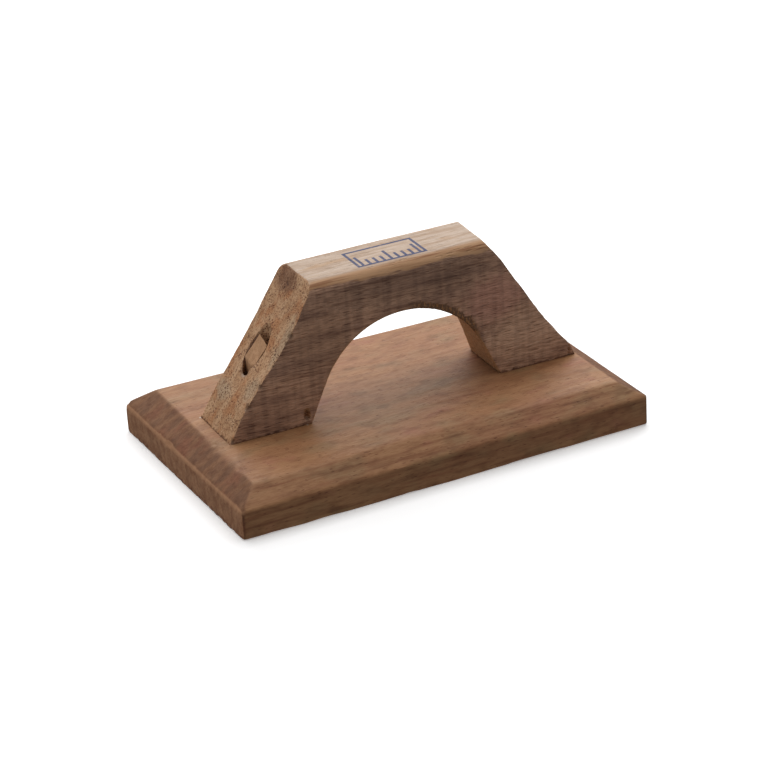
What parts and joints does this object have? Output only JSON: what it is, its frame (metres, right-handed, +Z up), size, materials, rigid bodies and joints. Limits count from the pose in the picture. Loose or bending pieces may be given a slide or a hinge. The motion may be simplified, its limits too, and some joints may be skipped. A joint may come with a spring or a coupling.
{
  "type": "wooden hand float",
  "caption": "Small hand float for smoothing mortar: a bevelled wooden rubbing board with a sawn bridge handle pegged along its back.",
  "frame": {"origin": "middle of the sole, the flat underside of the board", "axes": "+X along the board and the grain, +Y across it, +Z up from the sole through the handle"},
  "size_m": [0.15, 0.095, 0.0643],
  "materials": {
    "board_wood": "planed, unsealed reddish-brown hardwood",
    "handle_wood": "sawn, unsealed grey-brown hardwood with pale sapwood on top",
    "peg_wood": "split, unsealed light tan wood"
  },
  "bodies": {
    "root": {"board": "board_wood", "handle": "handle_wood", "peg_left": "peg_wood", "peg_right": "peg_wood"}
  },
  "joints": []
}
